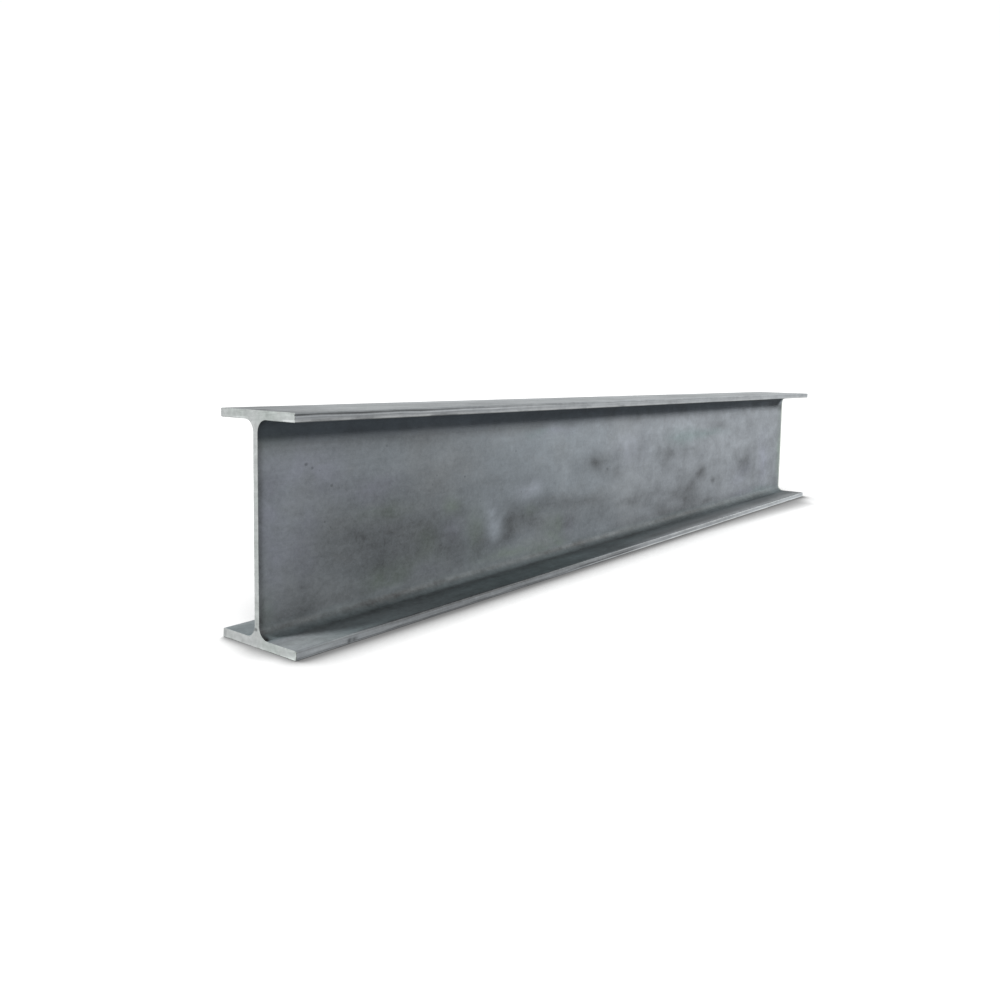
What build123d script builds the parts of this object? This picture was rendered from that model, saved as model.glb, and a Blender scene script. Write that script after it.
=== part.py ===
from build123d import *
import os

# Hot-rolled steel I-section beam, one cut length lying level with its web upright.
# Millimetres. +X runs along the beam, +Y across the flanges, +Z up.
# Origin: middle of the bottom flange's underside, at mid-length.

# Driving dimensions
beam_length = 1250.0       # one cut length
section_depth = 206.0      # over both flanges
flange_width = 102.0
flange_thickness = 8.0     # parallel flanges, no taper
web_thickness = 6.2
web_offset = 2.0           # the web stands this far off centre, towards +Y, within rolling tolerance
root_radius = 11.0         # fillets where the web meets the flanges
toe_radius = 1.2           # rolled rounding along the flange edges

# Derived positions in the section
toe = flange_width / 2
web_front = web_offset - web_thickness / 2
web_back = web_offset + web_thickness / 2
bottom_inner = flange_thickness
top_inner = section_depth - flange_thickness

# The whole beam: one closed I-shaped outline, extruded both ways from mid-length
with BuildPart() as i_beam:
    with BuildSketch(Plane.YZ) as section:
        with BuildLine() as outline:
            Polyline(
                (-toe, 0),
                (toe, 0),
                (toe, bottom_inner),
                (web_back, bottom_inner),
                (web_back, top_inner),
                (toe, top_inner),
                (toe, section_depth),
                (-toe, section_depth),
                (-toe, top_inner),
                (web_front, top_inner),
                (web_front, bottom_inner),
                (-toe, bottom_inner),
                close=True,
            )
        make_face()
        # root fillets: the four inner corners beside the web
        root_corners = section.vertices().filter_by_position(Axis.X, web_front - 0.1, web_back + 0.1)
        fillet(root_corners, radius=root_radius)
        # rolled rounding: the outermost and innermost corners across the flanges
        front_toes = section.vertices().group_by(Axis.X)[0]
        back_toes = section.vertices().group_by(Axis.X)[-1]
        fillet(front_toes + back_toes, radius=toe_radius)
    extrude(amount=beam_length / 2, both=True)

i_beam.part.label = "i_beam"

os.makedirs("parts", exist_ok=True)
export_step(i_beam.part, "parts/i_beam.step")
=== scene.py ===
import math

import bpy
import numpy as np
from mathutils import Matrix, Vector
from mathutils.geometry import delaunay_2d_cdt


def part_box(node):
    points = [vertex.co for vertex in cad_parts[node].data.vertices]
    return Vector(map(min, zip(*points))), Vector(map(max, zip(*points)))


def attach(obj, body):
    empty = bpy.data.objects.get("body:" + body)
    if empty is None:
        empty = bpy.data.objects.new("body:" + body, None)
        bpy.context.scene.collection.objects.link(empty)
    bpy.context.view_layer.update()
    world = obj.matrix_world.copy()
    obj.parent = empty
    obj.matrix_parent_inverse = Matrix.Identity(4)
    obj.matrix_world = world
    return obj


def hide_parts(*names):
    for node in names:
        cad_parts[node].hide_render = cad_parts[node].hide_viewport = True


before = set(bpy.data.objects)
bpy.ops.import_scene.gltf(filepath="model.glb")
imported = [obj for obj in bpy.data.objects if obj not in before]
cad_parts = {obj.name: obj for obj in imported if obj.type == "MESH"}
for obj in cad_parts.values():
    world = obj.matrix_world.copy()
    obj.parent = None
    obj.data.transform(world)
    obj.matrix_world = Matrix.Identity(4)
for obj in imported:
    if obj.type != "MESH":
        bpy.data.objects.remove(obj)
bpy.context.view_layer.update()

# A cut length of hot-rolled steel I-section. The CAD node gives its size and place; this
# script models the rolled and sawn skin of it: the rounded flange edges with the lap and the
# seam that the rolls left in them, nicks, the slight ripple of the web, and the sawn ends
# with their broken edge and burr. Lengths below are in millimetres until the mesh is made.

low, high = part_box("i_beam")
LENGTH = (high.x - low.x) * 1000
HALF = LENGTH / 2
TOE = (high.y - low.y) * 500          # from the middle of a flange to its edge
DEPTH = (high.z - low.z) * 1000
FLANGE = 8.0
WEB_FRONT, WEB_BACK = -1.1, 5.1
TOE_R, ROOT_R = 1.2, 11.0


# ---------------------------------------------------------------- smooth repeatable noise
def noise2(u, v, seed, octaves=1, gain=0.5):
    """Smooth value noise between about -1 and 1, with one lattice cell per unit."""
    u, v = np.broadcast_arrays(np.asarray(u, float), np.asarray(v, float))
    total, weight, amp = np.zeros(u.shape), 0.0, 1.0
    for o in range(octaves):
        table = np.random.default_rng(seed + 101 * o).uniform(-1, 1, (256, 256))
        i, j = np.floor(u).astype(int), np.floor(v).astype(int)
        a, b = u - i, v - j
        a, b = a * a * (3 - 2 * a), b * b * (3 - 2 * b)
        i0, i1, j0, j1 = i % 256, (i + 1) % 256, j % 256, (j + 1) % 256
        row0 = table[i0, j0] * (1 - a) + table[i1, j0] * a
        row1 = table[i0, j1] * (1 - a) + table[i1, j1] * a
        total = total + amp * (row0 * (1 - b) + row1 * b)
        weight += amp
        amp *= gain
        u, v = u * 2.03 + 11.7, v * 2.03 + 5.3
    return total / weight * 1.35


def ramp(x, a, b):
    """0 before a, 1 after b, smooth between."""
    t = np.clip((np.asarray(x, float) - a) / (b - a), 0, 1)
    return t * t * (3 - 2 * t)


def bell(x, width):
    return np.exp(-(np.asarray(x, float) / width) ** 2)


# ---------------------------------------------------------------- the section's outline
def graded(length, first, last, most, growth=1.4):
    """Offsets along a run whose steps grow from first, up to most, and shrink to last."""
    up, down = [first], [last]
    while sum(up) + sum(down) < length:
        if up[-1] <= down[-1]:
            up.append(min(up[-1] * growth, most))
        else:
            down.append(min(down[-1] * growth, most))
    at = np.concatenate([[0.0], np.cumsum(up + down[::-1])])
    return at * length / at[-1]


outline = []      # y, z, outward normal y, outward normal z, name of the stretch


def straight(a, b, offsets, part):
    a, b = np.array(a, float), np.array(b, float)
    along = (b - a) / np.linalg.norm(b - a)
    for d in offsets[:-1]:
        p = a + along * d
        outline.append((p[0], p[1], along[1], -along[0], part))


def arc(cy, cz, r, start, end, steps, part):
    sign = 1.0 if end > start else -1.0      # a root fillet turns the other way and is hollow
    for k in range(steps):
        t = math.radians(start + (end - start) * k / steps)
        outline.append((cy + r * math.cos(t), cz + r * math.sin(t),
                        sign * math.cos(t), sign * math.sin(t), part))


flat_half = TOE - TOE_R
edge_run = FLANGE - 2 * TOE_R
web_run = DEPTH - 2 * FLANGE - 2 * ROOT_R
top_in = DEPTH - FLANGE
back_in = TOE - TOE_R - WEB_BACK - ROOT_R
front_in = TOE - TOE_R + WEB_FRONT - ROOT_R

straight((0, 0), (flat_half, 0), graded(flat_half, 7, 0.7, 8), "under")
arc(flat_half, TOE_R, TOE_R, -90, 0, 4, "toe_low_back")
straight((TOE, TOE_R), (TOE, FLANGE - TOE_R), np.linspace(0, edge_run, 9), "toe_low_back")
arc(flat_half, FLANGE - TOE_R, TOE_R, 0, 90, 4, "toe_low_back")
straight((flat_half, FLANGE), (WEB_BACK + ROOT_R, FLANGE), graded(back_in, 0.8, 3.0, 6), "low_back")
arc(WEB_BACK + ROOT_R, FLANGE + ROOT_R, ROOT_R, 270, 180, 8, "root_low_back")
straight((WEB_BACK, FLANGE + ROOT_R), (WEB_BACK, top_in - ROOT_R), graded(web_run, 3, 3, 5.5), "web_back")
arc(WEB_BACK + ROOT_R, top_in - ROOT_R, ROOT_R, 180, 90, 8, "root_top_back")
straight((WEB_BACK + ROOT_R, top_in), (flat_half, top_in), graded(back_in, 3.0, 0.8, 6), "top_in_back")
arc(flat_half, top_in + TOE_R, TOE_R, -90, 0, 4, "toe_top_back")
straight((TOE, top_in + TOE_R), (TOE, DEPTH - TOE_R), np.linspace(0, edge_run, 9), "toe_top_back")
arc(flat_half, DEPTH - TOE_R, TOE_R, 0, 90, 4, "toe_top_back")
straight((flat_half, DEPTH), (-flat_half, DEPTH), graded(2 * flat_half, 0.6, 0.6, 6.5), "upper")
arc(-flat_half, DEPTH - TOE_R, TOE_R, 90, 180, 6, "toe_top_front")
straight((-TOE, DEPTH - TOE_R), (-TOE, top_in + TOE_R), np.linspace(0, edge_run, 17), "toe_top_front")
arc(-flat_half, top_in + TOE_R, TOE_R, 180, 270, 5, "toe_top_front")
straight((-flat_half, top_in), (WEB_FRONT - ROOT_R, top_in), graded(front_in, 0.8, 3.0, 6), "top_in_front")
arc(WEB_FRONT - ROOT_R, top_in - ROOT_R, ROOT_R, 90, 0, 8, "root_top_front")
straight((WEB_FRONT, top_in - ROOT_R), (WEB_FRONT, FLANGE + ROOT_R), graded(web_run, 3, 3, 5.5), "web_front")
arc(WEB_FRONT - ROOT_R, FLANGE + ROOT_R, ROOT_R, 0, -90, 8, "root_low_front")
straight((WEB_FRONT - ROOT_R, FLANGE), (-flat_half, FLANGE), graded(front_in, 3.0, 0.7, 5), "low_front")
arc(-flat_half, FLANGE - TOE_R, TOE_R, 90, 180, 5, "toe_low_front")
straight((-TOE, FLANGE - TOE_R), (-TOE, TOE_R), np.linspace(0, edge_run, 14), "toe_low_front")
arc(-flat_half, TOE_R, TOE_R, 180, 270, 5, "toe_low_front")
straight((-flat_half, 0), (0, 0), graded(flat_half, 0.7, 7, 8), "under")

Y = np.array([p[0] for p in outline])
Z = np.array([p[1] for p in outline])
NY = np.array([p[2] for p in outline])
NZ = np.array([p[3] for p in outline])
part = np.array([p[4] for p in outline])
J = len(outline)
step = np.hypot(np.roll(Y, -1) - Y, np.roll(Z, -1) - Z)
S = np.concatenate([[0.0], np.cumsum(step)])      # along the outline; S[J] closes it


def on(*names):
    return np.isin(part, names).astype(float)


# ---------------------------------------------------------------- stations along the length
END_BREAK = 1.0
near = graded(650.0, 0.8, 3.0, 3.0, 1.25) - HALF + END_BREAK
far = graded(LENGTH - 650.0 - 2 * END_BREAK, 3.0, 0.8, 4.6, 1.25) + near[-1]
X = np.concatenate([near, far[1:]])
K = len(X)

# ---------------------------------------------------------------- relief, along the normal
x = X[:, None]
y, z, s = Y[None, :], Z[None, :], S[None, :J]
from_near = x + HALF

relief = 0.035 * noise2(x / 70, s / 5, 3, 2) + 0.02 * noise2(x / 11, s / 4, 4)

# the flange edges were free between the rolls, so they wander a little
for k, name in enumerate(("toe_low_back", "toe_top_back", "toe_top_front", "toe_low_front")):
    here = on(name)[None, :]
    side = np.sign(y)
    swell = 0.16 * noise2(x / 85, 0.5, 20 + k) + 0.07 * noise2(x / 19, z / 6, 30 + k, 2)
    relief = relief + here * swell * np.abs(NY)[None, :]

# lap just under the upper arris of the front top edge: strong at the near end, dying away
top_edge = on("toe_top_front")[None, :] * np.clip(-NY, 0, 1)[None, :]
lap_z = DEPTH - 2.05 + 0.28 * noise2(x / 46, 0.3, 41) + 0.10 * noise2(x / 13, 0.3, 42)
lap_depth = (0.16 + 0.86 * (1 - ramp(from_near, 110, 330))) * (0.86 + 0.3 * noise2(x / 24, 0.7, 43))
relief = relief - top_edge * lap_depth * bell(z - lap_z, 0.72)
relief = relief + top_edge * 0.20 * bell(z - lap_z + 1.9, 0.9) * (1 - ramp(from_near, 150, 420))
# the rest of that edge is a little dished
relief = relief - top_edge * (0.55 * (1 - ramp(from_near, 0, 260)) + 0.12) * bell(z - (top_in + 3.6), 2.4)

# seam low on the front bottom edge, broken here and there, and a lip beyond it
low_edge = on("toe_low_front")[None, :] * np.clip(-NY, 0, 1)[None, :]
seam_z = 1.35 + 0.22 * noise2(x / 38, 0.2, 51)
seam = (0.42 + 0.2 * noise2(x / 17, 0.2, 52)) * (1 - ramp(from_near, 380, 470))
relief = relief - low_edge * np.clip(seam, 0, 1) * bell(z - seam_z, 0.55)
relief = relief + low_edge * 0.26 * ramp(from_near, 360, 460) * bell(z - 1.25, 0.7)
relief = relief + low_edge * 0.12 * noise2(x / 30, z / 1.6, 53)

# the same sort of marks on the hidden edges, fainter
for k, (name, at) in enumerate((("toe_low_back", 6.1), ("toe_top_back", DEPTH - 2.4))):
    here = on(name)[None, :] * np.abs(NY)[None, :]
    line = at + 0.35 * noise2(x / 50, 0.4, 61 + k)
    relief = relief - here * 0.3 * ramp(noise2(x / 160, 0.4, 63 + k), -0.2, 0.5) * bell(z - line, 0.6)

# nicks and knocks on the arrises: distance from the near end, height, half-lengths, depth
nicks = [
    ("toe_low_front", 58.2, 2.5, 2.6, 2.4, 0.85), ("toe_low_front", 64.6, 2.6, 1.6, 2.1, 0.85),
    ("toe_low_front", 232.0, 6.6, 2.6, 1.2, 0.30), ("toe_low_front", 404.0, 5.2, 2.4, 1.3, 0.28),
    ("toe_low_front", 690.0, 7.2, 3.0, 1.0, 0.30), ("toe_low_front", 955.0, 1.2, 3.2, 1.1, 0.35),
    ("toe_top_front", 43.0, DEPTH - 0.9, 2.4, 0.9, 0.35), ("toe_top_front", 128.0, DEPTH - 1.0, 3.2, 0.8, 0.30),
    ("toe_top_front", 301.0, top_in + 1.2, 3.5, 1.0, 0.35), ("toe_top_front", 735.0, DEPTH - 0.9, 4.0, 0.9, 0.30),
]
dice = np.random.default_rng(7)
for name in ("toe_low_back", "toe_top_back", "toe_top_front", "toe_low_front"):
    base = 0 if "low" in name else top_in
    for _ in range(7):
        nicks.append((name, dice.uniform(30, LENGTH - 20), base + dice.choice([0.9, 7.1]) + dice.uniform(-0.3, 0.3),
                      dice.uniform(1.6, 4.5), dice.uniform(0.7, 1.2), dice.uniform(0.12, 0.36)))
for name, at, height, half_x, half_z, deep in nicks:
    here = on(name)[None, :]
    relief = relief - here * deep * bell(from_near - at, half_x) * bell(z - height, half_z)

# the web is thin: it ripples gently, both faces together
web_span = ramp(Z, FLANGE + 2, FLANGE + 40) * (1 - ramp(Z, top_in - 40, top_in - 2))
ripple = (0.30 * noise2(x / 230, z / 95, 71) + 0.10 * noise2(x / 90, z / 60, 72)) * (web_span * on("web_back", "web_front"))[None, :]

GY = y + NY[None, :] * relief + ripple
GZ = z + NZ[None, :] * relief
GX = np.repeat(X[:, None], J, 1)

# ---------------------------------------------------------------- the sawn ends
inward = {}


def end_rings(sign, seed):
    """Two rings that close one end: where the skin stops, and the inset edge of the cut face."""
    k = 0 if sign < 0 else K - 1
    drop = 0.17 + 0.10 * noise2(S[:J] / 9, 0.5, seed) + 0.07 * noise2(S[:J] / 2.3, 0.5, seed + 1)
    drop = np.clip(drop, 0.07, 0.36)
    # at the far end the blade broke more of the web's edge; the pale rim painted along it is a painted highlight
    if sign > 0:
        drop = drop + 0.35 * on("web_front", "root_low_front", "root_top_front")
    inset = np.clip(drop * 0.9, 0.07, 0.50)
    burr = np.zeros(J)
    if sign < 0:
        corner = bell(np.hypot(Y + TOE - 3, Z) / 1.0, 9.0)
        burr = 0.25 * corner + 0.30 * on("under") * (0.5 + 0.5 * noise2(S[:J] / 6, 0.1, seed + 2))
    else:
        burr = 0.35 * on("under") * (0.5 + 0.5 * noise2(S[:J] / 5, 0.1, seed + 2))
    ya, za = GY[k], GZ[k]
    xa = np.full(J, sign * (HALF - 0.0)) - sign * drop
    xb = np.full(J, sign * HALF) + sign * burr
    yb, zb = ya - NY * inset, za - NZ * inset
    return (xa, ya, za), (xb, yb, zb)


rings = []
for sign, seed in ((-1, 81), (1, 91)):
    rings.append(end_rings(sign, seed))

# vertices: near inset ring, near skin ring, stations, far skin ring, far inset ring
rows = [rings[0][1], rings[0][0]] + [(GX[k], GY[k], GZ[k]) for k in range(K)] + [rings[1][0], rings[1][1]]
R = len(rows)
verts = np.concatenate([np.stack(r, 1) for r in rows])
grid = np.arange(R * J).reshape(R, J)
a = grid[:-1]
b = grid[1:]
quads = np.stack([a, b, np.roll(b, -1, 1), np.roll(a, -1, 1)], -1)      # (R-1, J, 4)


def cap(row, sign, seed):
    """Triangles over one cut face, with inner points so that it can be a little uneven."""
    ring_y, ring_z = rows[row][1], rows[row][2]
    pts = [Vector((float(p), float(q))) for p, q in zip(ring_y, ring_z)]
    pitch = 2.6
    extra = []
    seg_y, seg_z = np.roll(ring_y, -1) - ring_y, np.roll(ring_z, -1) - ring_z
    seg_sq = np.maximum(seg_y ** 2 + seg_z ** 2, 1e-9)
    for i, zz in enumerate(np.arange(1.3, DEPTH, pitch * 0.87)):
        for yy in np.arange(-TOE + 1.3 + (i % 2) * pitch / 2, TOE, pitch):
            inside_flange = (zz < FLANGE or zz > top_in) and abs(yy) < TOE
            inside_web = WEB_FRONT < yy < WEB_BACK
            gap_y = max(WEB_FRONT - yy, yy - WEB_BACK)
            gap_z = min(abs(zz - FLANGE), abs(top_in - zz))
            in_root = (not inside_flange and not inside_web and gap_y < ROOT_R and gap_z < ROOT_R
                       and math.hypot(ROOT_R - gap_y, ROOT_R - gap_z) > ROOT_R)
            if not (inside_flange or inside_web or in_root):
                continue
            t = np.clip(((yy - ring_y) * seg_y + (zz - ring_z) * seg_z) / seg_sq, 0, 1)
            if np.hypot(ring_y + t * seg_y - yy, ring_z + t * seg_z - zz).min() < 0.95:
                continue
            crossed = ((ring_z > zz) != (np.roll(ring_z, -1) > zz)) & (
                yy < ring_y + seg_y * (zz - ring_z) / np.where(np.abs(seg_z) < 1e-9, 1e-9, seg_z))
            if crossed.sum() % 2 == 0:
                continue
            extra.append(Vector((float(yy), float(zz))))
    made, _, faces, came_from, _, _ = delaunay_2d_cdt(pts + extra, [], [list(range(J))], 1, 1e-6)
    index, new = {}, []
    for i, src in enumerate(came_from):
        if src and src[0] < J:
            index[i] = int(grid[row, src[0]])
        else:
            index[i] = -1 - len(new)
            new.append((made[i][0], made[i][1]))
    new = np.array(new)
    uneven = 0.05 * noise2(new[:, 0] / 9, new[:, 1] / 9, seed) + 0.03 * noise2(new[:, 0] / 40, new[:, 1] / 3.0, seed + 1)
    return new, sign * (HALF + uneven), index, faces


tris, caps_start = [], []
for row, sign, seed in ((0, -1, 101), (R - 1, 1, 111)):
    new, new_x, index, faces = cap(row, sign, seed)
    base = len(verts)
    verts = np.concatenate([verts, np.column_stack([new_x, new[:, 0], new[:, 1]])])
    for f in faces:
        ids = [index[i] if index[i] >= 0 else base - 1 - index[i] for i in f]
        p, q, r = (verts[i] for i in ids[:3])
        facing = np.cross(q - p, r - p)[0]
        tris.append((ids if facing * sign > 0 else ids[::-1], sign))

# orientation of the skin: outward
p, q, r = verts[quads[R // 2, 0, 0]], verts[quads[R // 2, 0, 1]], verts[quads[R // 2, 0, 2]]
if np.dot(np.cross(q - p, r - p), (0, NY[0], NZ[0])) < 0:
    quads = quads[..., ::-1]

side_faces = quads.reshape(-1, 4)
n_side, n_tri = len(side_faces), len(tris)
corners = np.concatenate([side_faces.ravel(), np.array([t[0] for t in tris]).ravel()])
starts = np.concatenate([np.arange(n_side) * 4, n_side * 4 + np.arange(n_tri) * 3])
totals = np.concatenate([np.full(n_side, 4), np.full(n_tri, 3)])

mesh = bpy.data.meshes.new("beam_skin")
mesh.vertices.add(len(verts))
mesh.vertices.foreach_set("co", (verts / 1000).astype(np.float32).ravel())
mesh.loops.add(len(corners))
mesh.loops.foreach_set("vertex_index", corners.astype(np.int32))
mesh.polygons.add(len(starts))
mesh.polygons.foreach_set("loop_start", starts.astype(np.int32))
mesh.polygons.foreach_set("loop_total", totals.astype(np.int32))
row_of_side = np.repeat(np.arange(R - 1), J)
cut = np.concatenate([(row_of_side == 0) | (row_of_side == R - 2), np.ones(n_tri, bool)])
mesh.polygons.foreach_set("material_index", cut.astype(np.int32))
mesh.polygons.foreach_set("use_smooth", np.ones(len(starts), bool))
mesh.update(calc_edges=True)
mesh.validate()

# sharp along the two rings at each end
ring_of = np.full(len(verts), -1)
for ring in (0, 1, R - 2, R - 1):
    ring_of[grid[ring]] = ring
ev = np.empty(len(mesh.edges) * 2, np.int32)
mesh.edges.foreach_get("vertices", ev)
ev = ev.reshape(-1, 2)
same = (ring_of[ev[:, 0]] >= 0) & (ring_of[ev[:, 0]] == ring_of[ev[:, 1]])
gap = np.abs((ev[:, 0] % J) - (ev[:, 1] % J))
sharp = same & ((gap == 1) | (gap == J - 1))
mesh.attributes.new("sharp_edge", "BOOLEAN", "EDGE").data.foreach_set("value", sharp)

# ---------------------------------------------------------------- unrolled map of the surface
perimeter = S[J]
scale = 0.985 / LENGTH
uv = np.zeros((len(corners), 2))
col = side_faces % J
row_id = side_faces // J
quad_col = np.tile(np.arange(J), R - 1)[:, None]
wrapped = (quad_col == J - 1) & (col == 0)
u = np.where(wrapped, S[J], S[np.minimum(col, J)]) * scale + 0.0075
v = (verts[side_faces, 0] + HALF) * scale + 0.0075
uv[: n_side * 4, 0], uv[: n_side * 4, 1] = u.ravel(), v.ravel()
cap_scale = 0.46 / DEPTH


def cap_uv(yz, sign):
    left = 0.70 if sign < 0 else 0.70
    base = 0.02 if sign < 0 else 0.52
    return np.stack([left + (yz[..., 0] + TOE) * cap_scale, base + yz[..., 1] * cap_scale], -1)


end_quads = np.where(row_of_side == 0, -1, np.where(row_of_side == R - 2, 1, 0))
for sign in (-1, 1):
    q = np.nonzero(end_quads == sign)[0]
    at = (q[:, None] * 4 + np.arange(4)).ravel()
    uv[at] = cap_uv(verts[corners[at]][:, 1:], sign)
tri_at = n_side * 4 + np.arange(n_tri * 3)
tri_sign = np.repeat([t[1] for t in tris], 3)
for sign in (-1, 1):
    at = tri_at[tri_sign == sign]
    uv[at] = cap_uv(verts[corners[at]][:, 1:], sign)
layer = mesh.uv_layers.new(name="OFBake", do_init=False)
layer.uv.foreach_set("vector", uv.astype(np.float32).ravel())

# ---------------------------------------------------------------- where the skin is worn, stained or dirty, and where light and shade are painted into it
arris = np.full(J, 99.0)
for cy, cz in ((TOE, 0), (TOE, FLANGE), (TOE, top_in), (TOE, DEPTH), (-TOE, 0), (-TOE, FLANGE), (-TOE, top_in), (-TOE, DEPTH)):
    arris = np.minimum(arris, np.hypot(Y - cy, Z - cz))
wear_and_highlight = np.clip(1.1 * np.exp(-((arris - 0.4).clip(0) / 1.1) ** 2) + 0.35 * np.exp(-(arris / 6.0) ** 2), 0, 1)
# the front edges are rubbed bright only in places, the lower one from mid-length on; a painted highlight is added along
# the lowest arris of the bottom flange from mid-length on, and along the lower arris of the top flange at the far end
wear_and_highlight = np.repeat(wear_and_highlight[None, :], K, 0)
rubbed = np.ones((K, J))
low_toe, top_toe = on("toe_low_front", "low_front")[None, :], on("toe_top_front", "upper")[None, :] * (Y < 0)[None, :]
rubbed = rubbed * (1 - low_toe * (1 - ramp(from_near, 430, 760) * 0.8) * 0.92)
rubbed = rubbed * (1 - top_toe * ramp(Z, DEPTH - 3, DEPTH - 1)[None, :] * 0.72)
wear_and_highlight = wear_and_highlight * rubbed + on("toe_low_front")[None, :] * bell(Z - 0.7, 0.9)[None, :] * (1.1 * ramp(from_near, 440, 620) + 0.3 * ramp(from_near, 800, 900))
wear_and_highlight = wear_and_highlight + on("toe_top_front")[None, :] * bell(Z - top_in - 0.4, 1.2)[None, :] * 1.2 * ramp(from_near, 1100, 1180)
edge_face = np.clip(np.abs(NY), 0, 1) * np.array([n.startswith("toe") for n in part]) * 1.0
root = np.zeros(J)
for cy, cz in ((WEB_FRONT, FLANGE), (WEB_BACK, FLANGE), (WEB_FRONT, top_in), (WEB_BACK, top_in)):
    root = np.maximum(root, np.exp(-(np.hypot(Y - cy, Z - cz) / 11.0) ** 2))

groove = np.clip(top_edge * lap_depth * bell(z - lap_z, 0.64) * 0.96, 0, 1)
groove = np.maximum(groove, np.clip(low_edge * seam * 1.5, 0, 1) * bell(z - seam_z, 0.5))
for name, at, height, half_x, half_z, deep in nicks[:2]:      # these two nicks are painted dark as well
    groove = np.maximum(groove, on(name)[None, :] * bell(from_near - at, half_x * 1.15) * bell(z - height, half_z * 1.15))
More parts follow.
